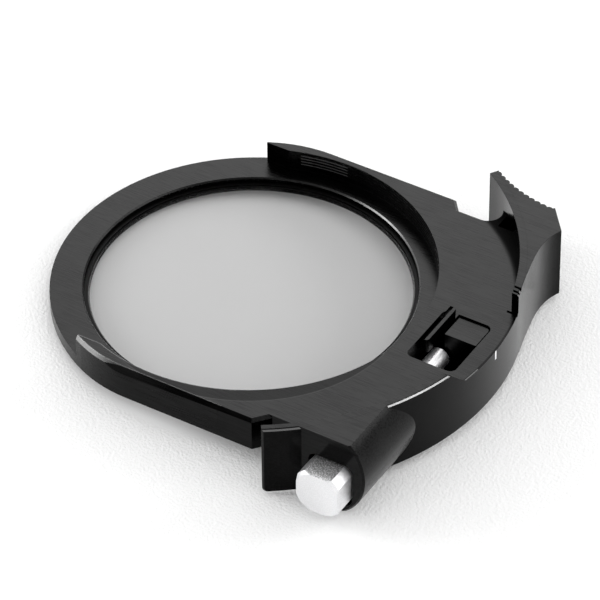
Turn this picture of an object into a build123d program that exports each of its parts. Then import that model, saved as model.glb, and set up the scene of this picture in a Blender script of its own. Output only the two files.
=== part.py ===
from build123d import *

import math
import os

# Sizes are in millimetres. The origin is on the glass axis, level with the top of the
# ring's face. +Z is up through the filter, -X is the end that slides in first and +X is
# the curved cover. The button is at the -Y end of the cover and is pressed towards +Y.

# Opening for the glass, under a counterbore with a fine thread
counterbore_radius = 26.0
glass_ledge = 2.7
bore_chamfer = 0.2
seat_width = 0.5
seat_thickness = 0.25
glass_thickness = 0.6
glass_clearance = 0.1
retainer_thickness = 0.3
retainer_clearance = 0.03
retainer_width = 0.55

# Ring and plate round the opening
rail_wall = 1.3
ring_side_flat = 0.7
ring_side_blend = 20.0
ring_thickness = 1.9
plate_top = 3.2
plate_end_x = -12.5
plate_chamfer = 0.45
rail_tip_inset = 1.55
rail_bevel_depth = 1.35
waist_start_x = 17.0
waist_slope_run = 1.85
waist_depth = 2.3
web_rise = 3.35
web_run = 1.7
web_inset = 0.05
web_hollow_depth = 0.78

# Curved cover, a thin arc that stands above and below the plate
cover_offset_y = 0.4
cover_gap = 9.92
cover_wall = 1.05
cover_top = 6.3
cover_bottom = -4.95
cover_half_angle = 56.4
cover_chamfer = 0.3
cover_corner_radius = 0.8

# Thumb grip at the +Y end of the cover. Each point is an angle round the cover's
# centre and a height over the cover's outer face
grip_tip_angle = 56.96
grip_tip_width = 1.38
serration_count = 11
serration_radius = 0.62
serration_inset = 0.3
serration_start = (55.976, 0.147)
serration_middle = (48.01, 1.434)
serration_end = (42.22, 4.275)
grip_shoulder = (42.271, 4.931)
grip_corner = (35.507, 4.952)
grip_corner_lean = 0.5
grip_hollow = (32.216, 2.409)
grip_neck = (24.296, 0.481)
grip_root_angle = 16.863

# Push button and its plunger
button_inset_x = 8.27
button_z = -0.95
button_radius = 3.78
button_across_flats = 6.34
button_proud = 3.65
button_length = 5.95
button_chamfer = 0.55
button_dome = 0.12
button_side_clearance = 0.21
button_end_clearance = 0.33
recess_corner_radius = 1.2
recess_depth = 4.75
shaft_radius = 1.5
shaft_tip_round = 0.4
shaft_clearance = 0.05

# Boss that houses the button, placed from the button's axis
boss_proud = 0.65
boss_length = 14.95
boss_shift_x = 3.15
boss_shift_z = 1.6
boss_radius = 8.35
boss_reach_x = 5.05
boss_bottom = -5.7
boss_edge = 0.25

# Window in the plate, placed from the button's axis
window_reach_x = 1.95
window_width = 7.5
window_start_y = -5.2
window_length = 10.95
window_floor = -3.4
window_corner_radius = 1.0

# Block under the plate that carries the plunger bores and the window pocket
housing_side_wall = 2.3
housing_outer_wall = 1.4
housing_end_wall = 2.25
housing_corner_radius = 1.5

# Lowered rim of the cover, beside the window
rim_lead = 0.4
rim_slope_run = 3.5
rim_length = 15.8
rim_groove_width = 0.4
rim_groove_depth = 0.3
rim_groove_gap = 0.3
rim_groove_pitch = 0.85

# Spring leaf cut in one piece with the plate, inside the window
leaf_gap = 0.25
leaf_width = 1.0
leaf_tip_radius = 0.45
leaf_length = 6.95
leaf_depth = 2.2
leaf_bevel_width = 0.5
leaf_bevel_depth = 0.4
leaf_bevel_run_out = 0.95
leaf_slit_inset = 1.45
leaf_slot_run_out = 0.75
heel_width = 1.9
heel_inset = 1.05

# Stop block in the window
block_heel_gap = 0.2
block_length = 4.15
block_side_gap = 0.3
block_end_gap = 0.1
block_drop = 0.3
block_corner_radius = 0.8
block_bore_clearance = 0.1
shaft_block_gap = 0.25

# Bushing, clip and spring inside the plunger bore
spring_bore_radius = 3.0
spring_bore_length = 11.0
bushing_length = 2.2
bushing_clearance = 0.02
clip_thickness = 0.5
clip_outer_radius = 2.6
clip_groove_depth = 0.4
clip_opening = 1.7
clip_side_clearance = 0.02
spring_coil_radius = 2.2
spring_wire_radius = 0.22
spring_wire_sides = 6
spring_turns = 5
spring_end_clearance = 0.05

big = 60.0

glass_bore_radius = counterbore_radius - glass_ledge
plate_half_width = counterbore_radius + rail_wall
ring_radius = plate_half_width + ring_side_flat
waist_half_width = plate_half_width - waist_depth
base_bottom = -ring_thickness
seat_top = base_bottom + seat_thickness
glass_top = seat_top + glass_thickness
cover_outer_radius = ring_radius + cover_gap
cover_inner_radius = cover_outer_radius - cover_wall
cover_centre = (0, cover_offset_y)
button_x = cover_outer_radius - button_inset_x
boss_face_y = -plate_half_width - boss_proud
boss_back_y = boss_face_y + boss_length
button_front_y = boss_face_y - button_proud
recess_floor_y = boss_face_y + recess_depth
spring_bore_end_y = recess_floor_y + spring_bore_length
clip_front_y = recess_floor_y + bushing_length
window_left_x = button_x - window_reach_x
window_right_x = window_left_x + window_width
window_end_y = window_start_y + window_length
leaf_left_x = window_left_x + leaf_gap
heel_x = leaf_left_x + heel_width
block_left_x = heel_x + block_heel_gap
block_end_y = window_end_y - block_end_gap
block_start_y = block_end_y - block_length
shaft_tip_y = block_start_y - shaft_block_gap
rim_start_y = window_start_y - rim_lead
rim_end_y = rim_start_y + rim_length


def slab(sketch, bottom, top):
    """Solid with the sketch as its plan, from one height to another."""
    return Pos(0, 0, bottom) * extrude(sketch, top - bottom)


def block(x_range, y_range, z_range):
    """Box between two values on each axis."""
    sizes = [high - low for low, high in (x_range, y_range, z_range)]
    centre = [(high + low) / 2 for low, high in (x_range, y_range, z_range)]
    return Pos(*centre) * Box(*sizes)


def rod_y(radius, start_y, end_y, x=button_x, z=button_z):
    """Round rod along Y, on the button's axis unless told otherwise."""
    rod = Rot(-90, 0, 0) * Cylinder(radius, end_y - start_y)
    return Pos(x, (start_y + end_y) / 2, z) * rod


def nearest_edge(shape, point):
    """Edge whose middle is closest to the point."""
    return min(shape.edges(), key=lambda edge: (edge.center() - Vector(*point)).length)


def cover_point(radius, angle):
    """Point at an angle on a circle about the cover's centre."""
    turn = math.radians(angle)
    return (radius * math.cos(turn), cover_offset_y + radius * math.sin(turn))


def over_cover(angle, height):
    """Point at an angle and a height over the cover's outer face."""
    return cover_point(cover_outer_radius + height, angle)


def cover_x(radius, y):
    """Where a circle about the cover's centre has the given Y, on the +X side."""
    return math.sqrt(radius**2 - (y - cover_offset_y) ** 2)


def cover_disc(radius, bottom, top):
    """Disc about the cover's centre."""
    return slab(Pos(*cover_centre) * Circle(radius), bottom, top)


def ring_outline():
    """Plan of the ring, with flat sides that run smoothly into its round."""
    plan = Circle(ring_radius) & Rectangle(2 * ring_radius, 2 * plate_half_width)
    return fillet(plan.vertices(), ring_side_blend)


def plate_web():
    """Rounded corner that joins the plate's edge to the inside of the cover."""
    top_y = waist_half_width + web_rise
    end = (cover_x(cover_inner_radius, top_y) - web_inset, top_y)
    start = (end[0] - web_run, waist_half_width)
    middle = ((start[0] + end[0]) / 2 + web_hollow_depth, (start[1] + end[1]) / 2 - web_hollow_depth)
    outer_x = end[0] + cover_wall
    curve = ThreePointArc(start, middle, end)
    rest = Polyline(end, (outer_x, top_y), (outer_x, 0), (start[0], 0), start)
    return make_face(curve + rest)


def plate_outline():
    """Plan of the plate, from the rail ends to the middle of the cover's wall."""
    length = ring_radius - plate_end_x
    behind = Pos(plate_end_x + length / 2, 0) * Rectangle(length, 2 * ring_radius)
    rails = ring_outline() & behind
    edge = [
        (0, plate_half_width),
        (waist_start_x, plate_half_width),
        (waist_start_x + waist_slope_run, waist_half_width),
        (big, waist_half_width),
    ]
    mirrored = [(x, -y) for x, y in reversed(edge)]
    waist = make_face(Polyline(*edge, *mirrored, edge[0]))
    web = plate_web()
    limit = Pos(*cover_centre) * Circle(cover_outer_radius - cover_wall / 2)
    return rails + ((waist + web + mirror(web, about=Plane.XZ)) & limit)


def plate():
    """Plate with its top outer edges chamfered, before the glass openings are cut."""
    body = slab(plate_outline(), base_bottom, plate_top)
    top_edges = body.edges().filter_by(Plane.XY).group_by(Axis.Z)[-1]
    side_edges = [
        edge
        for edge in top_edges
        if abs(edge.center().Y) > waist_half_width
        and edge.center().X < waist_start_x + waist_slope_run
    ]
    return chamfer(side_edges, plate_chamfer)


def rail_bevel():
    """Bevel along a rail's straight side, deeper towards the tip than at the waist."""
    depths = {plate_end_x: rail_bevel_depth, waist_start_x: plate_chamfer}
    sections = []
    for x, depth in depths.items():
        corner = (plate_half_width + plate_chamfer, plate_top + depth)
        foot = (corner[0], plate_top - 2 * depth)
        inside = (plate_half_width - 2 * plate_chamfer, corner[1])
        triangle = Plane.YZ * make_face(Polyline(corner, foot, inside, corner))
        sections.append(Pos(x, 0, 0) * triangle)
    return loft(sections)


def rail_tip_flats():
    """Space between the flat insides of the rails' tips, over the ring."""
    half_width = counterbore_radius - rail_tip_inset
    return block((-big, 0), (-half_width, half_width), (0, plate_top))


def cover():
    """Curved wall of the cover."""
    reach = big / math.cos(math.radians(cover_half_angle))
    corners = [cover_point(reach, -cover_half_angle), cover_point(reach, cover_half_angle)]
    wedge = make_face(Polyline(cover_centre, *corners, cover_centre))
    band = Pos(*cover_centre) * (Circle(cover_outer_radius) - Circle(cover_inner_radius))
    wall = slab(band & wedge, cover_bottom, cover_top)
    fin_end = cover_point(cover_outer_radius - cover_wall / 2, -cover_half_angle)
    wall = fillet(nearest_edge(wall, (*fin_end, cover_bottom)), cover_corner_radius)
    outside = wall.edges().filter_by(
        lambda edge: edge.geom_type == GeomType.CIRCLE
        and math.isclose(edge.radius, cover_outer_radius, abs_tol=1e-6)
    )
    return chamfer(outside, cover_chamfer)


def grip():
    """Thumb grip, with upright serrations on its hollow outer side."""
    tip_inside = cover_point(cover_inner_radius, grip_tip_angle)
    tip_outside = cover_point(cover_inner_radius + grip_tip_width, grip_tip_angle)
    root = over_cover(grip_root_angle, 0)
    root_inside = cover_point(cover_inner_radius, grip_root_angle)
    inside_middle = cover_point(cover_inner_radius, (grip_root_angle + grip_tip_angle) / 2)
    along_cover = Vector(root[1] - cover_offset_y, -root[0])
    start = over_cover(*serration_start)
    end = over_cover(*serration_end)
    corner = over_cover(*grip_corner)
    back = ThreePointArc(start, over_cover(*serration_middle), end)
    hollow = Spline(
        corner,
        over_cover(*grip_hollow),
        over_cover(*grip_neck),
        root,
        tangents=(Vector(-grip_corner_lean, -1), along_cover),
    )
    outline = Polyline(tip_inside, tip_outside, start) + back
    outline += Polyline(end, over_cover(*grip_shoulder), corner) + hollow
    outline += Line(root, root_inside)
    outline += ThreePointArc(root_inside, inside_middle, tip_inside)
    plan = make_face(outline)
    for number in range(serration_count):
        place = back @ (number / (serration_count - 1))
        plan += Pos(place.X - serration_inset / 2, place.Y - serration_inset) * Circle(
            serration_radius
        )
    return slab(plan, cover_bottom, cover_top)


def boss():
    """Rounded boss round the button, flush with the cover's top and outside its wall."""
    centre = (button_x - boss_shift_x, button_z + boss_shift_z)
    barrel = rod_y(boss_radius, boss_face_y, boss_back_y, *centre)
    front_rim = barrel.edges().sort_by(Axis.Y)[0]
    barrel = chamfer(front_rim, boss_edge)
    across = (button_x - boss_reach_x, big)
    limit = block(across, (boss_face_y, boss_back_y), (boss_bottom, cover_top))
    inside = cover_disc(cover_inner_radius, plate_top, big)
    return (barrel & limit) - inside


def housing():
    """Block under the plate, round the plunger bores and the window pocket."""
    body = block(
        (window_left_x - housing_side_wall, window_right_x + housing_outer_wall),
        (boss_back_y, window_end_y + housing_end_wall),
        (cover_bottom, base_bottom),
    )
    body = fillet(body.edges().filter_by(Axis.Z), housing_corner_radius)
    return body & cover_disc(cover_outer_radius - cover_wall / 2, cover_bottom, plate_top)


def glass_opening():
    """Counterbore, glass bore and the opening through the seat."""
    counterbore = slab(Circle(counterbore_radius), 0, plate_top)
    bore = slab(Circle(glass_bore_radius), seat_top, 0)
    mouth = Pos(0, 0, -bore_chamfer / 2) * Cone(
        glass_bore_radius, glass_bore_radius + bore_chamfer, bore_chamfer
    )
    seat = slab(Circle(glass_bore_radius - seat_width), base_bottom, seat_top)
    return counterbore + bore + mouth + seat


def rim_cut():
    """Space above the lowered rim, with a sloped end and grooves along its upright end."""
    profile = Plane.YZ * make_face(
        Polyline(
            (rim_start_y, plate_top),
            (rim_end_y, plate_top),
            (rim_end_y, big),
            (rim_start_y - rim_slope_run, big),
            (rim_start_y - rim_slope_run, cover_top),
            (rim_start_y, plate_top),
        )
    )
    cut = Pos(cover_inner_radius - 2 * cover_wall, 0, 0) * extrude(profile, big)
    cut -= cover_disc(cover_inner_radius - cover_wall, 0, big)
    across = (cover_inner_radius - 2 * cover_wall, big)
    for lead in (rim_groove_gap, rim_groove_gap + rim_groove_pitch):
        groove = (rim_end_y + lead, rim_end_y + lead + rim_groove_width)
        cut += block(across, groove, (cover_top - rim_groove_depth, big))
    lower_y = rim_end_y - rim_groove_gap
    foot = block(across, (lower_y - rim_groove_width, lower_y), (plate_top - rim_groove_depth, big))
    return cut + (foot - cover_disc(cover_inner_radius - cover_wall / 2, 0, big))


def button_recess():
    """Recess with rounded corners that the button's head slides in."""
    width = button_across_flats + 2 * button_side_clearance
    height = button_across_flats + 2 * button_end_clearance
    section = RectangleRounded(width, height, recess_corner_radius)
    tool = extrude(Plane.XZ * section, -recess_depth)
    return Pos(button_x, boss_face_y, button_z) * tool


def plunger_bores():
    """Spring bore behind the recess and the closer bore that guides the shaft."""
    spring_bore = rod_y(spring_bore_radius, recess_floor_y, spring_bore_end_y)
    shaft_bore_end_y = window_start_y + window_corner_radius
    shaft_bore = rod_y(shaft_radius + shaft_clearance, spring_bore_end_y, shaft_bore_end_y)
    return spring_bore + shaft_bore


def leaf():
    """Spring leaf with a bevelled top edge and a rounded tip, and the heel at its root."""
    right_x = leaf_left_x + leaf_width
    slot_end_y = window_end_y + leaf_slot_run_out
    bottom = plate_top - leaf_depth
    bevel_bottom = plate_top - leaf_bevel_depth
    along = (window_end_y - leaf_length, slot_end_y)
    body = block((leaf_left_x, right_x), along, (bottom, plate_top))
    body = fillet(body.edges().filter_by(Axis.Z).group_by(Axis.Y)[0], leaf_tip_radius)
    bevel_right_x = leaf_left_x + leaf_bevel_width
    section = Polyline(
        (leaf_left_x, bevel_bottom),
        (leaf_left_x, plate_top),
        (bevel_right_x, plate_top),
        (leaf_left_x, bevel_bottom),
    )
    bevel = extrude(Plane.XZ * make_face(section), -big)
    body -= Pos(0, along[0] - big / 2, 0) * bevel
    slit = (window_end_y - leaf_slit_inset, window_end_y)
    root = block((window_left_x, leaf_left_x), slit, (bottom, bevel_bottom))
    heel_tip = (heel_x, window_end_y - heel_inset)
    heel_foot = (right_x, slot_end_y)
    heel = make_face(Polyline(heel_foot, heel_tip, (heel_x, slot_end_y), heel_foot))
    return body + root + slab(heel, window_floor, plate_top)


def window():
    """Window pocket with the spring leaf left standing in it."""
    centre = (window_left_x + window_width / 2, window_start_y + window_length / 2)
    outline = Pos(*centre) * RectangleRounded(window_width, window_length, window_corner_radius)
    pocket = slab(outline, window_floor, plate_top)
    inner_y = window_end_y - window_corner_radius
    slot = (inner_y, window_end_y + leaf_slot_run_out)
    pocket += block((leaf_left_x, heel_x), slot, (window_floor, plate_top))
    bevel_run = block(
        (leaf_left_x, leaf_left_x + leaf_bevel_width),
        (inner_y, window_end_y + leaf_bevel_run_out),
        (plate_top - leaf_bevel_depth, plate_top),
    )
    return (pocket - leaf()) + bevel_run


def holder_frame():
    """Machined one-piece holder."""
    body = slab(ring_outline(), base_bottom, 0) + plate()
    body += cover()
    body += grip()
    body += boss()
    body += housing()
    body -= glass_opening()
    body -= rail_tip_flats()
    body -= rail_bevel()
    body -= mirror(rail_bevel(), about=Plane.XZ)
    body -= rim_cut()
    body -= button_recess()
    body -= plunger_bores()
    body -= window()
    return body


def nd_glass():
    """Round neutral density glass on the seat."""
    return slab(Circle(glass_bore_radius - glass_clearance), seat_top, glass_top)


def retaining_ring():
    """Thin threaded ring that holds the glass down on the seat."""
    outer = glass_bore_radius - retainer_clearance
    plan = Circle(outer) - Circle(outer - retainer_width)
    return slab(plan, glass_top, glass_top + retainer_thickness)


def button_head():
    """Round head with four milled flats, a chamfered rim and a slightly domed face."""
    bar = rod_y(button_radius, button_front_y, button_front_y + button_length)
    bar = chamfer(bar.edges().sort_by(Axis.Y)[0], button_chamfer)
    face_radius = button_radius - button_chamfer
    dome_radius = (face_radius**2 + button_dome**2) / (2 * button_dome)
    bar &= Pos(button_x, button_front_y + dome_radius, button_z) * Sphere(dome_radius)
    half = button_across_flats / 2
    flats = block(
        (button_x - half, button_x + half),
        (button_front_y, button_front_y + button_length),
        (button_z - half, button_z + half),
    )
    return bar & flats


def release_button():
    """Button head and plunger shaft, turned in one piece, with the clip's groove."""
    shaft = rod_y(shaft_radius, button_front_y + button_length, shaft_tip_y)
    shaft = fillet(shaft.edges().sort_by(Axis.Y)[-1], shaft_tip_round)
    groove_start_y = clip_front_y - clip_side_clearance
    groove_end_y = clip_front_y + clip_thickness + clip_side_clearance
    groove = rod_y(clip_outer_radius, groove_start_y, groove_end_y)
    groove -= rod_y(shaft_radius - clip_groove_depth, groove_start_y, groove_end_y)
    return button_head() + shaft - groove


def guide_bushing():
    """Plain bushing in the mouth of the spring bore."""
    sleeve = rod_y(spring_bore_radius - bushing_clearance, recess_floor_y, clip_front_y)
    return sleeve - rod_y(shaft_radius + shaft_clearance, recess_floor_y, clip_front_y)


def shaft_clip():
    """Open clip snapped into the shaft's groove, resting on the bushing."""
    end_y = clip_front_y + clip_thickness
    washer = rod_y(clip_outer_radius, clip_front_y, end_y)
    washer -= rod_y(shaft_radius - clip_groove_depth, clip_front_y, end_y)
    mouth = block(
        (button_x - clip_opening / 2, button_x + clip_opening / 2),
        (clip_front_y, end_y),
        (button_z - clip_outer_radius, button_z),
    )
    return washer - mouth


def return_spring():
    """Coil spring between the clip and the end of the spring bore."""
    start_y = clip_front_y + clip_thickness + spring_wire_radius + spring_end_clearance
    end_y = spring_bore_end_y - spring_wire_radius - spring_end_clearance
    length = end_y - start_y
    coil = Helix(length / spring_turns, length, spring_coil_radius)
    wire_section = RegularPolygon(spring_wire_radius, spring_wire_sides)
    section = Plane(coil @ 0, z_dir=coil % 0) * wire_section
    wire = sweep(section, path=coil, is_frenet=True)
    return Pos(button_x, start_y, button_z) * Rot(-90, 0, 0) * wire


def stop_block():
    """Block fixed in the window, hollowed where the plunger's tip slides in."""
    right_x = window_right_x - block_side_gap
    top = plate_top - block_drop
    body = block((block_left_x, right_x), (block_start_y, block_end_y), (window_floor, top))
    far_edge = nearest_edge(body, (right_x, block_end_y, (window_floor + top) / 2))
    body = fillet(far_edge, block_corner_radius)
    return body - rod_y(shaft_radius + block_bore_clearance, block_start_y, block_end_y)


def main():
    """Write one STEP file for each piece."""
    pieces = {
        "holder_frame": holder_frame(),
        "nd_glass": nd_glass(),
        "retaining_ring": retaining_ring(),
        "release_button": release_button(),
        "guide_bushing": guide_bushing(),
        "shaft_clip": shaft_clip(),
        "return_spring": return_spring(),
        "stop_block": stop_block(),
    }
    os.makedirs("parts", exist_ok=True)
    for node, solid in pieces.items():
        export_step(solid, f"parts/{node}.step")


main()
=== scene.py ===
import logging
import math
from dataclasses import dataclass
from enum import Enum

import bpy
from mathutils import Matrix, Vector


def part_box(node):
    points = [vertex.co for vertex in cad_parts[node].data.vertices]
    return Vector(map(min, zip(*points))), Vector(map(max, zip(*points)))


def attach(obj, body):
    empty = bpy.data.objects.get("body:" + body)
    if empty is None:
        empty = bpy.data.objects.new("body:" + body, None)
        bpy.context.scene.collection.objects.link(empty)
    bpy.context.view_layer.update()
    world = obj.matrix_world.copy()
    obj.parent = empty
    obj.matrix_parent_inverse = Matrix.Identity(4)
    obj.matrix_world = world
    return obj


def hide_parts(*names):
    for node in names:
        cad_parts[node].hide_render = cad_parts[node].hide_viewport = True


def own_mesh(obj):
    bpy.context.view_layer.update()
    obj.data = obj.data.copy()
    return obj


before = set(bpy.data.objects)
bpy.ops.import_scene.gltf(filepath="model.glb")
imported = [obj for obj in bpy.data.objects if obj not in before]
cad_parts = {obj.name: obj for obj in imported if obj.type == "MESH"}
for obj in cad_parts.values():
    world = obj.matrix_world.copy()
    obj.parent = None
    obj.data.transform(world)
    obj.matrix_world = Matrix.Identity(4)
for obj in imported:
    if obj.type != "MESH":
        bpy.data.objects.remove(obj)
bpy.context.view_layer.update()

log = logging.getLogger("drop_in_filter")

MM = 0.001
SQUARE = ((-1, -1), (1, -1), (1, 1), (-1, 1))


class Body(Enum):
    """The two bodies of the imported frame."""

    HOLDER = "holder"
    BUTTON = "button"


class Slot(Enum):
    """The record's material slots for the new pieces' finishes; nothing in this script reads them."""

    BLACK_ANODISED = "black_anodised"
    SPRING_STEEL = "spring_steel"


class Ray(Enum):
    """Outputs of the Light Path node that see the studio's white surroundings."""

    CAMERA = "Is Camera Ray"
    GLOSSY = "Is Glossy Ray"
    TRANSMISSION = "Is Transmission Ray"


@dataclass
class Graph:
    """A node tree, with short ways to add and join its nodes."""

    tree: bpy.types.NodeTree

    def add(self, kind: str, **settings: object) -> bpy.types.Node:
        """Adds a node.

        Args:
            kind: the node's type, as Blender names it.
            settings: the node's own settings.

        Returns:
            The new node.
        """
        node = self.tree.nodes.new(kind)
        for name, value in settings.items():
            setattr(node, name, value)
        return node

    def join(self, source: object, target: bpy.types.NodeSocket) -> None:
        """Links an output to an input, or sets the input to a plain value.

        Args:
            source: an output socket, or a value.
            target: the input socket.
        """
        if isinstance(source, bpy.types.NodeSocket):
            self.tree.links.new(source, target)
        else:
            target.default_value = source

    def maths(self, operation: str, *values: object) -> bpy.types.NodeSocket:
        """Adds a Math node.

        Args:
            operation: the operation's name.
            values: a socket or number for each input.

        Returns:
            The result's socket.
        """
        node = self.add("ShaderNodeMath", operation=operation)
        for value, socket in zip(values, node.inputs):
            self.join(value, socket)
        return node.outputs[0]

    def product(self, first: object, *others: object) -> bpy.types.NodeSocket:
        """Multiplies sockets and numbers.

        Args:
            first: the first factor.
            others: the other factors, in order.

        Returns:
            The product's socket.
        """
        for other in others:
            first = self.maths("MULTIPLY", first, other)
        return first

    def dimmed(self, value: object, mask: object, part: float) -> bpy.types.NodeSocket:
        """Takes a part of a value away where a mask is 1.

        Args:
            value: the socket to lower.
            mask: the socket that says where.
            part: the part that goes, from 0 to 1.

        Returns:
            The lowered value's socket.
        """
        return self.product(value, self.maths("SUBTRACT", 1.0, self.product(mask, part)))

    def ramp(self, value: object, low: float, high: float, start: object, end: float) -> bpy.types.NodeSocket:
        """Adds a smooth Map Range node.

        Args:
            value: the socket to map.
            low: the value that gives the start.
            high: the value that gives the end.
            start: the result at low, a number or a socket.
            end: the result at high.

        Returns:
            The result's socket.
        """
        node = self.add("ShaderNodeMapRange", interpolation_type="SMOOTHSTEP")
        for source, socket in zip((value, low, high, start, end), node.inputs):
            self.join(source, socket)
        return node.outputs["Result"]

    def rise(self, value: object, start: float, run: float) -> bpy.types.NodeSocket:
        """Rises softly from 0 to 1 where a value passes a start.

        Args:
            value: the socket to follow.
            start: the value at which the rise starts.
            run: how much further the value is at its end.

        Returns:
            The result's socket.
        """
        return self.ramp(value, start, start + run, 0.0, 1.0)

    def swing(
        self, value: object, middle: float, swing: float, low: float = 0.3, high: float = 0.7
    ) -> bpy.types.NodeSocket:
        """Moves a number up and down about its middle.

        Args:
            value: the socket that moves it.
            middle: the number's middle.
            swing: how far it moves to each side.
            low: the value that gives the lowest number.
            high: the value that gives the highest number.

        Returns:
            The number's socket.
        """
        return self.ramp(value, low, high, middle - swing, middle + swing)

    def noise(self, scale: tuple[float, float, float], detail: float = 2.0) -> bpy.types.NodeSocket:
        """Adds noise that keeps to the object.

        Args:
            scale: how many cells it has in a metre, along each axis.
            detail: how many finer layers it has.

        Returns:
            The socket with the noise's value.
        """
        place = self.add("ShaderNodeTexCoord")
        mapping = self.add("ShaderNodeMapping")
        mapping.inputs["Scale"].default_value = scale
        self.join(place.outputs["Object"], mapping.inputs["Vector"])
        node = self.add("ShaderNodeTexNoise")
        self.join(mapping.outputs["Vector"], node.inputs["Vector"])
        node.inputs["Scale"].default_value = 1.0
        node.inputs["Detail"].default_value = detail
        return node.outputs["Fac"]

    def separated(self, vector: bpy.types.NodeSocket) -> dict[str, bpy.types.NodeSocket]:
        """The X, Y and Z sockets of a vector, by name."""
        node = self.add("ShaderNodeSeparateXYZ")
        self.join(vector, node.inputs["Vector"])
        return {name: node.outputs[name] for name in "XYZ"}

    def place(self) -> dict[str, bpy.types.NodeSocket]:
        """The X, Y and Z sockets of a point in object coordinates, by name."""
        return self.separated(self.add("ShaderNodeTexCoord").outputs["Object"])

    def face_normal(self) -> bpy.types.NodeSocket:
        """The socket with the way that the flat face looks."""
        return self.add("ShaderNodeNewGeometry").outputs["True Normal"]

    def flat_distance(
        self, place: dict[str, bpy.types.NodeSocket], centre: tuple[float, float]
    ) -> bpy.types.NodeSocket:
        """Distance from an upright axis.

        Args:
            place: the X, Y and Z sockets of the point.
            centre: the X and Y of the axis.

        Returns:
            The distance's socket.
        """
        gaps = [self.maths("SUBTRACT", place[name], middle) for name, middle in zip("XY", centre)]
        return self.maths("SQRT", self.maths("ADD", *(self.product(gap, gap) for gap in gaps)))

    def upward(self, length: bpy.types.NodeSocket) -> bpy.types.NodeSocket:
        """A vector of that length along Z."""
        node = self.add("ShaderNodeCombineXYZ")
        self.join(length, node.inputs["Z"])
        return node.outputs["Vector"]

    def colour(self, *parts: object) -> bpy.types.NodeSocket:
        """A colour of three parts."""
        node = self.add("ShaderNodeCombineColor")
        for part, socket in zip(parts, node.inputs):
            self.join(part, socket)
        return node.outputs["Color"]

    def grey(self, value: object) -> bpy.types.NodeSocket:
        """A colour whose three parts are one value."""
        return self.colour(value, value, value)

    def texture(
        self, shader: bpy.types.Node, height: bpy.types.NodeSocket, depth: float, edge_radius: float = 0.0
    ) -> None:
        """Gives a shader a fine bump, and rounds its sharp edges where a radius is given.

        Args:
            shader: the Principled BSDF.
            height: the bump's socket.
            depth: the bump's depth in metres.
            edge_radius: the edges' radius in metres, or 0 for sharp ones.
        """
        bump = self.add("ShaderNodeBump")
        bump.inputs["Distance"].default_value = depth
        self.join(height, bump.inputs["Height"])
        if edge_radius:
            edge = self.add("ShaderNodeBevel", samples=6)
            edge.inputs["Radius"].default_value = edge_radius
            self.join(edge.outputs["Normal"], bump.inputs["Normal"])
        self.join(bump.outputs["Normal"], shader.inputs["Normal"])


def seen_directly(graph: Graph) -> bpy.types.NodeSocket:
    """Marks the rays of the camera, of reflections and through glass.

    Args:
        graph: the graph that needs the mark.

    Returns:
        The socket that is 1 for such a ray and 0 for soft light.
    """
    path = graph.add("ShaderNodeLightPath")
    seen = graph.maths("MAXIMUM", path.outputs[Ray.CAMERA.value], path.outputs[Ray.GLOSSY.value])
    return graph.maths("MAXIMUM", seen, path.outputs[Ray.TRANSMISSION.value])


def new_material(name: str) -> tuple[bpy.types.Material, Graph, bpy.types.Node]:
    """Makes a material with one Principled BSDF.

    Args:
        name: the material's name.

    Returns:
        The material, its graph and its Principled BSDF.
    """
    material = bpy.data.materials.new(name)
    material.use_nodes = True
    graph = Graph(material.node_tree)
    shader = next(n for n in graph.tree.nodes if n.type == "BSDF_PRINCIPLED")
    return material, graph, shader


def add_piece(
    name: str, corners: list[Vector], faces: list[tuple[int, ...]], material: bpy.types.Material
) -> bpy.types.Object:
    """Makes a plain piece from its corners.

    Args:
        name: the name of the piece and of its mesh.
        corners: the places of its corners.
        faces: the numbers of the corners of each face.
        material: its finish.

    Returns:
        The new object, at the origin.
    """
    mesh = bpy.data.meshes.new(name)
    mesh.from_pydata(corners, [], faces)
    mesh.materials.append(material)
    piece = bpy.data.objects.new(name, mesh)
    bpy.context.scene.collection.objects.link(piece)
    return piece


@dataclass(frozen=True)
class Surface:
    """Sockets that tell where a point of the black metal lies and which way its face looks."""

    place: dict[str, bpy.types.NodeSocket]
    normal: dict[str, bpy.types.NodeSocket]
    reach: bpy.types.NodeSocket
    plate_top: bpy.types.NodeSocket


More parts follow.
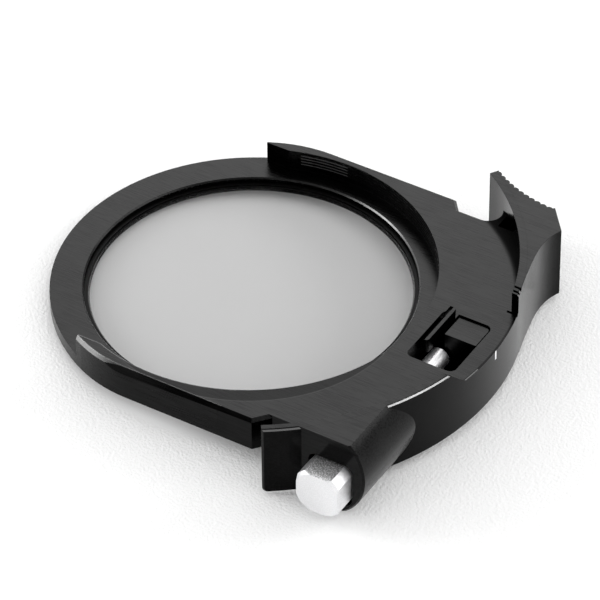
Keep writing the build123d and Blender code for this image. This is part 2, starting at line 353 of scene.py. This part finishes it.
@dataclass(frozen=True)
class BlackAnodised:
    """Black anodised aluminium with fine straight brushing along X.

    The chamfers of its rails' tips, its cover and its glass opening are brighter than its faces:
    partly a brighter cut and partly painted highlight, kept to where they catch the light. The
    plate's top is darker in a crescent beside the opening, with a fine lighter rim. Painted shade
    darkens a strip along the foot of the cover. The lowered rim has a darker outer edge with a short
    painted highlight. The near rail's upper edges carry a painted highlight, painted shade darkens
    the cover's round outside, and its upright walls are smoother.
    """

    name: str
    tone: float = 0.0095
    tone_swing: float = 0.0032
    roughness: float = 0.29
    roughness_swing: float = 0.04
    brush_pitch: float = 0.0002
    brush_length: float = 0.004
    brush_depth: float = 0.000005
    patch_scale: tuple[float, float, float] = (150.0, 300.0, 300.0)
    patch_share: float = 0.3
    edge_radius: float = 0.00005
    cover_axis: tuple[float, float] = (0.0, 0.0004)
    plate_level: float = 0.0031
    plate_tolerance: float = 0.0002
    plate_slope: float = 0.9
    # Painted highlight on the chamfers, partly a brighter cut: the tone added and where it goes.
    chamfer_highlight_tone: float = 0.12
    chamfer_tolerance: float = 0.03
    chamfer_aside: float = 0.1
    tip_highlight_share: float = 0.6
    bore_highlight_share: float = 0.85
    bore_start: tuple[float, float] = (-0.012, 0.004)
    ring_level: float = 0.0005
    cover_edge: float = 0.03773
    crescent_centre: tuple[float, float] = (0.00338, -0.00534)
    crescent_radius: float = 0.0219
    crescent_share: float = 0.5
    crescent_rim: float = 0.00006
    crescent_rim_tone: float = 0.008
    # The lowered rim's outer edge is darker; a short stretch of it takes a painted highlight.
    rim_edge: float = 0.0376
    rim_share: float = 0.12
    glint_edge: float = 0.03772
    glint_middle: float = -0.0046
    glint_half: float = 0.0018
    glint_tone: float = 0.035
    # Painted shade along the foot of the cover.
    foot_shade_centre: tuple[float, float] = (0.00871, 0.0)
    foot_shade_radius: float = 0.02905
    foot_shade_run: float = 0.0005
    foot_shade_start: tuple[float, float] = (0.02, 0.0128)
    foot_shade_share: float = 0.1
    foot_shade_roughness: float = 0.4
    # Painted shade on the cover's round outside.
    turned_radius: float = 0.03792
    turned_tolerance: float = 0.00003
    side_shade_share: float = 0.6
    # Painted highlight on the near rail's upper edges.
    rail_highlight_radius: float = 0.00022
    rail_highlight_turn: tuple[float, float] = (0.97, 0.999)
    rail_highlight_end: float = 0.012
    rail_highlight_side: float = -0.02
    rail_highlight_level: float = 0.0029
    rail_highlight_tone: float = 0.07
    wall_radius: float = 0.03
    wall_tolerance: float = 0.1
    wall_smoothness: float = 0.4

    def surface(self, graph: Graph) -> Surface:
        """Reads the place of a point, the way its face looks and its distance from the cover's axis.

        Args:
            graph: the material's graph.

        Returns:
            The sockets, with one that is 1 on the flat top of the plate.
        """
        place = graph.place()
        normal = graph.separated(graph.face_normal())
        level = graph.maths("COMPARE", place["Z"], self.plate_level, self.plate_tolerance)
        flat = graph.maths("GREATER_THAN", normal["Z"], self.plate_slope)
        reach = graph.flat_distance(place, self.cover_axis)
        return Surface(place, normal, reach, graph.product(level, flat))

    def chamfers(self, graph: Graph, at: Surface) -> bpy.types.NodeSocket:
        """Marks the chamfers whose tone is raised, partly as a brighter cut and partly as painted highlight
        where they catch the light, by their slope and their place.

        Args:
            graph: the material's graph.
            at: the sockets of the point.

        Returns:
            The socket with each chamfer's share of the bright tone, and 0 elsewhere.
        """
        steepness = graph.maths("ABSOLUTE", at.normal["Z"])
        slope = graph.maths("COMPARE", steepness, math.sqrt(0.5), self.chamfer_tolerance)
        aside = graph.maths("GREATER_THAN", graph.maths("ABSOLUTE", at.normal["Y"]), self.chamfer_aside)
        # Painted highlight, placed only where the chamfers catch the light.
        left = graph.maths("LESS_THAN", at.place["X"], 0.0)
        high = graph.maths("GREATER_THAN", at.place["Z"], self.ring_level)
        tips = graph.product(left, high, self.tip_highlight_share)
        right = graph.ramp(at.place["X"], *self.bore_start, 0.0, self.bore_highlight_share)
        bore = graph.product(right, graph.maths("SUBTRACT", 1.0, high))
        cover = graph.maths("GREATER_THAN", at.reach, self.cover_edge)
        chosen = graph.maths("MAXIMUM", graph.maths("MAXIMUM", tips, bore), cover)
        return graph.product(slope, aside, chosen)

    def walls(self, graph: Graph, at: Surface) -> bpy.types.NodeSocket:
        """Marks the upright walls of the cover, its grip and its boss, which are cut smoother."""
        upright = graph.maths("COMPARE", at.normal["Z"], 0.0, self.wall_tolerance)
        return graph.product(upright, graph.maths("GREATER_THAN", at.reach, self.wall_radius))

    def turned(self, graph: Graph, at: Surface) -> bpy.types.NodeSocket:
        """Marks the round outside of the cover, which is turned; painted shade makes it darker than the
        flats.
        """
        return graph.maths("COMPARE", at.reach, self.turned_radius, self.turned_tolerance)

    def rim(self, graph: Graph, at: Surface) -> tuple[bpy.types.NodeSocket, bpy.types.NodeSocket]:
        """Marks the outer edge of the lowered rim.

        Args:
            graph: the material's graph.
            at: the sockets of the point.

        Returns:
            A socket that is 1 on the edge, whose tone is lowered, and one that is 1 on its short stretch with
            a painted highlight.
        """
        dull = graph.product(graph.maths("GREATER_THAN", at.reach, self.rim_edge), at.plate_top)
        # Painted highlight on a short stretch of the edge.
        edge = graph.maths("GREATER_THAN", at.reach, self.glint_edge)
        stretch = graph.maths("COMPARE", at.place["Y"], self.glint_middle, self.glint_half)
        return dull, graph.product(edge, stretch, at.plate_top)

    def foot_shade(self, graph: Graph, at: Surface) -> bpy.types.NodeSocket:
        """Marks the strip of the plate along the foot of the cover, from the window to the grip, where
        painted shade darkens the tone and the roughness rises.

        Args:
            graph: the material's graph.
            at: the sockets of the point.

        Returns:
            The socket that is 1 on the strip and falls softly to 0 beside it.
        """
        run = self.foot_shade_run
        reach = graph.flat_distance(at.place, self.foot_shade_centre)
        strip = graph.rise(reach, self.foot_shade_radius - run, 2 * run)
        starts = [graph.rise(at.place[name], start, run) for name, start in zip("XY", self.foot_shade_start)]
        return graph.product(strip, *starts, at.plate_top)

    def rail_edge_highlight(self, graph: Graph, at: Surface) -> bpy.types.NodeSocket:
        """Marks the sharp upper edges of the rail on the button's side, which take a painted highlight.

        Args:
            graph: the material's graph.
            at: the sockets of the point.

        Returns:
            The socket that is 1 on those edges and 0 elsewhere.
        """
        rounded = graph.add("ShaderNodeBevel", samples=4)
        rounded.inputs["Radius"].default_value = self.rail_highlight_radius
        turn = graph.add("ShaderNodeVectorMath", operation="DOT_PRODUCT")
        graph.join(rounded.outputs["Normal"], turn.inputs[0])
        graph.join(graph.face_normal(), turn.inputs[1])
        edge = graph.ramp(turn.outputs["Value"], *self.rail_highlight_turn, 1.0, 0.0)
        left = graph.maths("LESS_THAN", at.place["X"], self.rail_highlight_end)
        near = graph.maths("LESS_THAN", at.place["Y"], self.rail_highlight_side)
        high = graph.maths("GREATER_THAN", at.place["Z"], self.rail_highlight_level)
        return graph.product(edge, left, near, high)

    def crescent(self, graph: Graph, at: Surface) -> tuple[bpy.types.NodeSocket, bpy.types.NodeSocket]:
        """Marks the crescent on the plate's top and its fine bright rim.

        Args:
            graph: the material's graph.
            at: the sockets of the point.

        Returns:
            A socket that is 1 inside the crescent and one that is 1 on its rim.
        """
        reach = graph.flat_distance(at.place, self.crescent_centre)
        inside = graph.maths("LESS_THAN", reach, self.crescent_radius)
        rim = graph.maths("COMPARE", reach, self.crescent_radius, self.crescent_rim)
        return graph.product(inside, at.plate_top), graph.product(rim, at.plate_top)

    def material(self) -> bpy.types.Material:
        """Builds the material."""
        material, graph, shader = new_material(self.name)
        at = self.surface(graph)
        across = 1 / self.brush_pitch
        brush = graph.noise((1 / self.brush_length, across, across), 3.0)
        patches = graph.product(graph.noise(self.patch_scale), self.patch_share)
        wear = graph.maths("ADD", graph.product(brush, 1 - self.patch_share), patches)
        # Painted shade along the foot of the cover.
        foot_shade = self.foot_shade(graph, at)
        crescent, crescent_rim = self.crescent(graph, at)
        darker_rim_edge, rim_glint = self.rim(graph, at)
        tone = graph.swing(wear, self.tone, self.tone_swing)
        # Lower the tone: darker crescent, darker rim edge, painted shade at the cover's foot and on its round
        # outside.
        for mask, share in (
            (crescent, self.crescent_share),
            (darker_rim_edge, self.rim_share),
            (foot_shade, self.foot_shade_share),
            (self.turned(graph, at), self.side_shade_share),
        ):
            tone = graph.dimmed(tone, mask, 1 - share)
        # Raise the tone: lighter crescent rim, and painted highlights on the rim, the near rail's edges and
        # the chamfers.
        for mask, added in (
            (crescent_rim, self.crescent_rim_tone),
            (rim_glint, self.glint_tone),
            (self.rail_edge_highlight(graph, at), self.rail_highlight_tone),
            (self.chamfers(graph, at), self.chamfer_highlight_tone),
        ):
            tone = graph.maths("ADD", tone, graph.product(mask, added))
        rough = graph.swing(wear, self.roughness, self.roughness_swing)
        rough = graph.dimmed(rough, self.walls(graph, at), self.wall_smoothness)
        rough = graph.maths("ADD", rough, graph.product(foot_shade, self.foot_shade_roughness))
        graph.join(graph.grey(tone), shader.inputs["Base Color"])
        graph.join(rough, shader.inputs["Roughness"])
        shader.inputs["Metallic"].default_value = 1.0
        graph.texture(shader, brush, self.brush_depth, self.edge_radius)
        return material


@dataclass(frozen=True)
class SatinSteel:
    """Bright metal with a fine turned or drawn grain. Faces that look straight up are mottled and darkened by
    painted shade.
    """

    name: str
    tint: tuple[float, float, float] = (0.9, 0.9, 0.91)
    roughness: float = 0.48
    roughness_swing: float = 0.06
    grain_pitch: float = 0.00013
    grain_length: float = 0.0003
    grain_depth: float = 0.000001
    edge_radius: float = 0.000015
    shade: float = 0.9
    shade_span: tuple[float, float] = (0.36, 0.64)
    # Painted shade on faces that look straight up.
    top_shade_slope: float = 0.995
    top_shade_depth: float = 0.52

    def material(self) -> bpy.types.Material:
        """Builds the material."""
        material, graph, shader = new_material(self.name)
        across = 1 / self.grain_pitch
        grain = graph.noise((across, 1 / self.grain_length, across), 3.0)
        upward = graph.separated(graph.face_normal())["Z"]
        # Painted shade on faces that look straight up.
        top_shade = graph.maths("GREATER_THAN", upward, self.top_shade_slope)
        low = graph.maths("SUBTRACT", self.shade, graph.product(top_shade, self.top_shade_depth))
        shade = graph.ramp(grain, *self.shade_span, low, 1.0)
        colour = graph.colour(*(graph.product(shade, part) for part in self.tint))
        graph.join(colour, shader.inputs["Base Color"])
        graph.join(graph.swing(grain, self.roughness, self.roughness_swing), shader.inputs["Roughness"])
        shader.inputs["Metallic"].default_value = 1.0
        graph.texture(shader, grain, self.grain_depth, self.edge_radius)
        return material


@dataclass(frozen=True)
class GreyGlass:
    """Polished neutral grey glass with a blackened edge that also serves as painted shade at the rim. Each
    face holds back part of the light.
    """

    name: str
    tone: float = 0.02
    haze_scale: float = 60.0
    held_back: float = 0.165
    held_back_swing: float = 0.002
    # Blackened edge, partly painted shade at the glass's rim.
    rim_black_and_shade: float = 0.0224
    rim_black_and_shade_run: float = 0.0002
    roughness: float = 0.25
    index: float = 1.45
    specular: float = 0.2

    def material(self) -> bpy.types.Material:
        """Builds the material."""
        material, graph, shader = new_material(self.name)
        haze = graph.noise((self.haze_scale, self.haze_scale, self.haze_scale))
        clear = graph.swing(haze, self.held_back, self.held_back_swing, 0.2, 0.8)
        away = graph.flat_distance(graph.place(), (0.0, 0.0))
        # Blackened edge, partly painted shade at the glass's rim.
        edge = graph.rise(away, self.rim_black_and_shade, self.rim_black_and_shade_run)
        graph.join(graph.maths("MAXIMUM", clear, edge), shader.inputs["Alpha"])
        graph.join(graph.grey(graph.product(haze, self.tone)), shader.inputs["Base Color"])
        shader.inputs["Roughness"].default_value = self.roughness
        shader.inputs["IOR"].default_value = self.index
        shader.inputs["Specular IOR Level"].default_value = self.specular
        return material


@dataclass(frozen=True)
class WhitePaint:
    """Matt white paint in the index mark."""

    name: str
    tone: float = 0.945
    tone_swing: float = 0.025
    speck_scale: float = 4000.0
    roughness: float = 0.6

    def material(self) -> bpy.types.Material:
        """Builds the material."""
        material, graph, shader = new_material(self.name)
        speck = graph.noise((self.speck_scale, self.speck_scale, self.speck_scale))
        graph.join(graph.grey(graph.swing(speck, self.tone, self.tone_swing)), shader.inputs["Base Color"])
        shader.inputs["Roughness"].default_value = self.roughness
        return material


@dataclass(frozen=True)
class PalePaper:
    """Near-white matt floor with a fine soft texture, smooth where the glass lies over it."""

    name: str
    tone: float = 0.95
    tone_swing: float = 0.012
    lift: float = 0.05
    dimple: float = 0.0004
    dimple_depth: float = 0.00016
    smooth_radius: float = 0.027
    smooth_run: float = 0.002
    roughness: float = 0.9
    specular: float = 0.1

    def material(self) -> bpy.types.Material:
        """Builds the material."""
        material, graph, shader = new_material(self.name)
        pitch = 1 / self.dimple
        away = graph.flat_distance(graph.place(), (0.0, 0.0))
        dimpled = graph.rise(away, self.smooth_radius, self.smooth_run)
        dimples = graph.product(graph.noise((pitch, pitch, pitch), 3.0), dimpled)
        tone = graph.swing(dimples, self.tone, self.tone_swing, 0.0, 0.7)
        graph.join(graph.grey(tone), shader.inputs["Base Color"])
        shader.inputs["Roughness"].default_value = self.roughness
        shader.inputs["Specular IOR Level"].default_value = self.specular
        shader.inputs["Emission Color"].default_value = (1, 1, 1, 1)
        graph.join(graph.product(seen_directly(graph), self.lift), shader.inputs["Emission Strength"])
        graph.texture(shader, dimples, self.dimple_depth)
        return material


def dress(node: str, material: bpy.types.Material) -> None:
    """Gives a CAD node its material.

    Args:
        node: the node's name.
        material: the material for all its slots.
    """
    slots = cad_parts[node].data.materials
    slots.clear()
    slots.append(material)
    log.info("dressed %s with %s", node, material.name)


class Grower:
    """A Geometry Nodes tree with named sizes, which grows one plain mesh."""

    def __init__(self, name: str) -> None:
        """Makes the tree with a geometry output.

        Args:
            name: the name of the tree and of the piece that it grows.
        """
        self.name = name
        self.tree = bpy.data.node_groups.new(name, "GeometryNodeTree")
        self.graph = Graph(self.tree)
        self.tree.interface.new_socket("Geometry", in_out="OUTPUT", socket_type="NodeSocketGeometry")
        self.sizes: dict[str, float] = {}
        self.start = self.graph.add("NodeGroupInput")
        self.end = self.graph.add("NodeGroupOutput")

    def size(self, name: str, value: float, kind: str = "NodeSocketFloat") -> bpy.types.NodeSocket:
        """Adds a named size.

        Args:
            name: the size's name.
            value: its value for this piece.
            kind: the socket's type.

        Returns:
            The socket that carries it in the tree.
        """
        self.tree.interface.new_socket(name, in_out="INPUT", socket_type=kind)
        self.sizes[name] = value
        return self.start.outputs[name]

    def swept(
        self, curve: bpy.types.NodeSocket, sides: int, radius: bpy.types.NodeSocket
    ) -> bpy.types.NodeSocket:
        """Sweeps a section along a curve and closes its ends.

        Args:
            curve: the curve's socket.
            sides: how many sides the section has.
            radius: the section's radius.

        Returns:
            The solid's socket.
        """
        section = self.graph.add("GeometryNodeCurvePrimitiveCircle")
        section.inputs["Resolution"].default_value = sides
        self.graph.join(radius, section.inputs["Radius"])
        solid = self.graph.add("GeometryNodeCurveToMesh")
        self.graph.join(curve, solid.inputs["Curve"])
        self.graph.join(section.outputs["Curve"], solid.inputs["Profile Curve"])
        solid.inputs["Fill Caps"].default_value = True
        return solid.outputs["Mesh"]

    def grow(self, geometry: bpy.types.NodeSocket, material: bpy.types.Material) -> bpy.types.Object:
        """Ends the tree, runs it and keeps its result as a plain mesh.

        Args:
            geometry: the socket with the finished geometry.
            material: the finish of the whole piece.

        Returns:
            The new object, at the origin.
        """
        realize = self.graph.add("GeometryNodeRealizeInstances")
        finish = self.graph.add("GeometryNodeSetMaterial")
        finish.inputs["Material"].default_value = material
        self.graph.join(geometry, realize.inputs["Geometry"])
        self.graph.join(realize.outputs["Geometry"], finish.inputs["Geometry"])
        self.graph.join(finish.outputs["Geometry"], self.end.inputs["Geometry"])
        piece = bpy.data.objects.new(self.name, bpy.data.meshes.new(self.name))
        bpy.context.scene.collection.objects.link(piece)
        modifier = piece.modifiers.new("grow", "NODES")
        modifier.node_group = self.tree
        for item in self.tree.interface.items_tree:
            if item.in_out == "INPUT":
                modifier[item.identifier] = self.sizes[item.name]
        evaluated = piece.evaluated_get(bpy.context.evaluated_depsgraph_get())
        mesh = bpy.data.meshes.new_from_object(evaluated)
        piece.modifiers.remove(modifier)
        piece.data = mesh
        mesh.name = self.name
        log.info("grew %s with %d faces", self.name, len(mesh.polygons))
        return piece


@dataclass
class GlassCell:
    """The glass, its retaining ring and the fine thread round them. Sizes in metres."""

    thread_radius: float = 26.0 * MM
    thread_pitch: float = 0.5 * MM
    thread_depth: float = 0.09 * MM
    thread_start: float = 1.05 * MM
    thread_turns: int = 4
    thread_sweep: float = math.radians(212)
    ridge_sides: int = 4
    segments: int = 160
    glass: GreyGlass = GreyGlass("grey_glass")
    ring: BlackAnodised = BlackAnodised(
        "ring_black", tone=0.004, tone_swing=0.001, roughness=0.5, edge_radius=0.00001
    )

    def thread(self, material: bpy.types.Material) -> bpy.types.Object:
        """Grows the ridges of the thread on the wall of the counterbore.

        Args:
            material: the dull black finish.

        Returns:
            The piece with all ridges.
        """
        grower = Grower("cell_thread")
        graph = grower.graph
        sweep = grower.size("Sweep", self.thread_sweep)
        arc = graph.add("GeometryNodeCurveArc", mode="RADIUS")
        graph.join(grower.size("Segments", self.segments, "NodeSocketInt"), arc.inputs["Resolution"])
        graph.join(grower.size("Radius", self.thread_radius), arc.inputs["Radius"])
        graph.join(graph.product(sweep, -0.5), arc.inputs["Start Angle"])
        graph.join(sweep, arc.inputs["Sweep Angle"])
        ridge = grower.swept(arc.outputs["Curve"], self.ridge_sides, grower.size("Depth", self.thread_depth))
        levels = graph.add("GeometryNodeMeshLine", mode="OFFSET")
        graph.join(grower.size("Turns", self.thread_turns, "NodeSocketInt"), levels.inputs["Count"])
        graph.join(graph.upward(grower.size("Start", self.thread_start)), levels.inputs["Start Location"])
        graph.join(graph.upward(grower.size("Pitch", self.thread_pitch)), levels.inputs["Offset"])
        turns = graph.add("GeometryNodeInstanceOnPoints")
        graph.join(levels.outputs["Mesh"], turns.inputs["Points"])
        graph.join(ridge, turns.inputs["Instance"])
        return grower.grow(turns.outputs["Instances"], material)

    def build(self) -> None:
        """Dresses the glass and its ring and adds the thread."""
        dress("nd_glass", self.glass.material())
        dull = self.ring.material()
        dress("retaining_ring", dull)
        thread = self.thread(dull)
        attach(thread, Body.HOLDER.value)


@dataclass
class ButtonAction:
    """The push button, its plunger's fittings and its spring. Sizes in metres."""

    coil_radius: float = 2.2 * MM
    wire_radius: float = 0.22 * MM
    turns: float = 7.0
    end_closeness: float = 0.8
    steps_a_turn: int = 32
    wire_sides: int = 10
    steel: SatinSteel = SatinSteel("turned_steel")
    brass: SatinSteel = SatinSteel("turned_brass", tint=(0.75, 0.58, 0.28), roughness=0.35)
    drawn: SatinSteel = SatinSteel("drawn_steel", tint=(0.62, 0.62, 0.64), roughness=0.25)

    def spring(self, material: bpy.types.Material) -> bpy.types.Object:
        """Grows the coil spring, with closed ends, in the space of its CAD node.

        Args:
            material: the wire's finish.

        Returns:
            The spring.
        """
        low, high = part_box("return_spring")
        length = high.y - low.y - 2 * self.wire_radius
        grower = Grower("coil_spring")
        graph = grower.graph
        spiral = graph.add("GeometryNodeCurveSpiral")
        graph.join(grower.size("Steps", self.steps_a_turn, "NodeSocketInt"), spiral.inputs["Resolution"])
        graph.join(grower.size("Turns", self.turns), spiral.inputs["Rotations"])
        radius = grower.size("Coil Radius", self.coil_radius)
        graph.join(radius, spiral.inputs["Start Radius"])
        graph.join(radius, spiral.inputs["End Radius"])
        height = grower.size("Length", length)
        graph.join(height, spiral.inputs["Height"])
        along = graph.add("GeometryNodeSplineParameter").outputs["Factor"]
        wave = graph.maths("SINE", graph.product(along, 2 * math.pi))
        closeness = grower.size("End Closeness", self.end_closeness)
        shift = graph.maths("DIVIDE", graph.product(wave, closeness), -2 * math.pi)
        place = graph.add("GeometryNodeSetPosition")
        graph.join(spiral.outputs["Curve"], place.inputs["Geometry"])
        graph.join(graph.upward(graph.product(shift, height)), place.inputs["Offset"])
        wire = grower.size("Wire Radius", self.wire_radius)
        piece = grower.grow(grower.swept(place.outputs["Geometry"], self.wire_sides, wire), material)
        centre = (low + high) / 2
        lay_down = Matrix.Rotation(math.radians(-90), 4, "X")
        seat = Matrix.Translation((centre.x, low.y + self.wire_radius, centre.z))
        piece.data.transform(seat @ lay_down)
        return piece

    def build(self) -> None:
        """Dresses the button and its fittings and replaces the plain spring."""
        steel = self.steel.material()
        drawn = self.drawn.material()
        dress("release_button", steel)
        dress("guide_bushing", self.brass.material())
        dress("shaft_clip", drawn)
        spring = self.spring(drawn)
        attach(spring, Body.HOLDER.value)
        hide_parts("return_spring")
        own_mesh(spring)


@dataclass
class HolderFrame:
    """The one-piece black holder with its index mark. Sizes in metres."""

    cover_radius: float = 37.92 * MM
    cover_offset_y: float = 0.4 * MM
    mark_angle: float = math.radians(2.0)
    mark_width: float = 0.36 * MM
    mark_top: float = 3.18 * MM
    mark_bottom: float = 1.72 * MM
    mark_proud: float = 0.012 * MM
    mark_sink: float = 0.05 * MM
    paint: WhitePaint = WhitePaint("mark_white")

    def index_mark(self, material: bpy.types.Material) -> bpy.types.Object:
        """Makes the short painted line on the outside of the cover.

        Args:
            material: the white paint.

        Returns:
            The mark.
        """
        half = self.mark_width / 2
        x_range = (self.cover_radius - self.mark_sink, self.cover_radius + self.mark_proud)
        corners = [
            Vector((x, y, z))
            for x in x_range
            for y in (-half, half)
            for z in (self.mark_bottom, self.mark_top)
        ]
        turn = Matrix.Translation((0, self.cover_offset_y, 0)) @ Matrix.Rotation(self.mark_angle, 4, "Z")
        faces = [(0, 1, 3, 2), (4, 6, 7, 5), (0, 4, 5, 1), (2, 3, 7, 6), (1, 5, 7, 3), (0, 2, 6, 4)]
        return add_piece("index_mark", [turn @ corner for corner in corners], faces, material)

    def build(self, black: bpy.types.Material) -> None:
        """Dresses the holder and adds its mark.

        Args:
            black: the anodised finish.
        """
        dress("holder_frame", black)
        dress("stop_block", black)
        mark = self.index_mark(self.paint.material())
        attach(mark, Body.HOLDER.value)
        log.info("added %s", mark.name)


@dataclass(frozen=True)
class SoftBox:
    """A soft lamp that looks at the object."""

    name: str
    towards: tuple[float, float, float]
    distance: float
    width: float
    height: float
    radiance: float
    lights_paper: bool = True

    def place(self, centre: Vector) -> None:
        """Adds the lamp.

        Args:
            centre: the point that it looks at.
        """
        lamp = bpy.data.lights.new(self.name, "AREA")
        lamp.shape = "RECTANGLE"
        lamp.size = self.width
        lamp.size_y = self.height
        lamp.energy = self.radiance * math.pi * self.width * self.height
        box = bpy.data.objects.new(self.name, lamp)
        way = Vector(self.towards).normalized()
        box.location = centre + way * self.distance
        box.rotation_mode = "QUATERNION"
        box.rotation_quaternion = way.to_track_quat("Z", "Y")
        box.visible_camera = False
        box.visible_diffuse = self.lights_paper
        bpy.context.scene.collection.objects.link(box)


@dataclass(frozen=True)
class BlackCard:
    """A black card that only reflections see, as studios hang beside dark metal."""

    name: str
    towards: tuple[float, float, float]
    distance: float
    width: float
    height: float
    patch_scale: float = 9.0
    shade: float = 0.001

    def place(self, centre: Vector) -> None:
        """Adds the card.

        Args:
            centre: the point that it looks at.
        """
        way = Vector(self.towards).normalized()
        turn = way.to_track_quat("Z", "Y").to_matrix().to_4x4()
        seat = Matrix.Translation(centre + way * self.distance) @ turn
        corners = [seat @ Vector((x * self.width / 2, y * self.height / 2, 0)) for x, y in SQUARE]
        material, graph, shader = new_material(self.name)
        patches = graph.noise((self.patch_scale, self.patch_scale, self.patch_scale))
        graph.join(graph.grey(graph.swing(patches, self.shade, self.shade)), shader.inputs["Base Color"])
        shader.inputs["Specular IOR Level"].default_value = 0.0
        card = add_piece(self.name, corners, [(0, 1, 2, 3)], material)
        card.visible_camera = False
        card.visible_diffuse = False
        card.visible_shadow = False
        card.visible_transmission = False


@dataclass
class Studio:
    """The floor, the lamps, the white surroundings and the camera. Sizes in metres."""

    image_width: int = 600
    sensor_width: float = 36.0
    focal_pixels: float = 4664.06
    azimuth: float = math.radians(31.7305)
    elevation: float = math.radians(40.339)
    roll: float = math.radians(-0.5245)
    target: tuple[float, float, float] = (7.651 * MM, 0.404 * MM, 0.0)
    distance: float = 644.146 * MM
    ring_contact: tuple[float, float, float] = (-27.77 * MM, 3.55 * MM, -1.9 * MM)
    grip_contact: tuple[float, float, float] = (20.4 * MM, 31.11 * MM, -4.95 * MM)
    boss_contact: tuple[float, float, float] = (24.6 * MM, -13.0 * MM, -5.7 * MM)
    floor_half: float = 1.5
    surround_level: float = 0.94
    paper: PalePaper = PalePaper("pale_paper")
    boxes: tuple[SoftBox, ...] = (
        SoftBox("back_box", (-0.34, 0.69, 0.63), 0.8, 0.46, 0.42, 4.5, lights_paper=False),
        SoftBox("side_strip", (0.7355, 0.173, 0.604), 0.8, 0.45, 0.16, 10.0, lights_paper=False),
        SoftBox("far_box", (0.65, 0.65, 0.38), 0.8, 0.35, 0.2, 8.0),
        SoftBox("left_box", (-0.81, -0.37, 0.45), 0.8, 0.35, 0.3, 6.0),
    )
    cards: tuple[BlackCard, ...] = (
        BlackCard("front_card", (-0.36, -0.80, 0.48), 0.9, 0.7, 1.2),
    )

    def camera(self) -> None:
        """Places the camera at the photograph's point of view."""
        a, e = self.azimuth, self.elevation
        back = Vector((math.sin(a) * math.cos(e), -math.cos(a) * math.cos(e), math.sin(e)))
        level = Vector((math.cos(a), math.sin(a), 0))
        upright = back.cross(level)
        right = level * math.cos(self.roll) + upright * math.sin(self.roll)
        up = back.cross(right)
        data = bpy.data.cameras.new("photo_camera")
        data.sensor_width = self.sensor_width
        data.lens = self.focal_pixels * self.sensor_width / self.image_width
        camera = bpy.data.objects.new("photo_camera", data)
        turn = Matrix((right, up, back)).transposed().to_4x4()
        camera.matrix_world = Matrix.Translation(Vector(self.target) + back * self.distance) @ turn
        bpy.context.scene.collection.objects.link(camera)
        bpy.context.scene.camera = camera

    def floor(self) -> None:
        """Lays the floor under the three points that the part rests on."""
        a, b, c = Vector(self.ring_contact), Vector(self.grip_contact), Vector(self.boss_contact)
        normal = (b - a).cross(c - a).normalized()
        normal = normal if normal.z > 0 else -normal
        along = (Vector((1, 0, 0)) - normal * normal.x).normalized()
        aside = normal.cross(along)
        corners = [a + (along * x + aside * y) * self.floor_half for x, y in SQUARE]
        floor = add_piece("floor", corners, [(0, 1, 2, 3)], self.paper.material())

    def surroundings(self) -> None:
        """Makes the world white where it is seen or reflected, and plain for soft light."""
        world = bpy.data.worlds.new("studio")
        bpy.context.scene.world = world
        world.use_nodes = True
        graph = Graph(world.node_tree)
        background = next(n for n in graph.tree.nodes if n.type == "BACKGROUND")
        background.inputs["Color"].default_value = (1, 1, 1, 1)
        strength = graph.ramp(seen_directly(graph), 0.0, 1.0, self.surround_level, 1.0)
        graph.join(strength, background.inputs["Strength"])

    def build(self) -> None:
        """Sets up the whole studio."""
        self.camera()
        self.floor()
        self.surroundings()
        for item in (*self.boxes, *self.cards):
            item.place(Vector(self.target))
        bpy.context.scene.view_settings.view_transform = "Standard"
        log.info("studio ready")


def main() -> None:
    """Builds the studio and the pieces in order."""
    logging.basicConfig(level=logging.INFO, format="%(name)s: %(message)s")
    Studio().build()
    black = BlackAnodised("brushed_black").material()
    HolderFrame().build(black)
    GlassCell().build()
    ButtonAction().build()


if __name__ == "__main__":
    main()
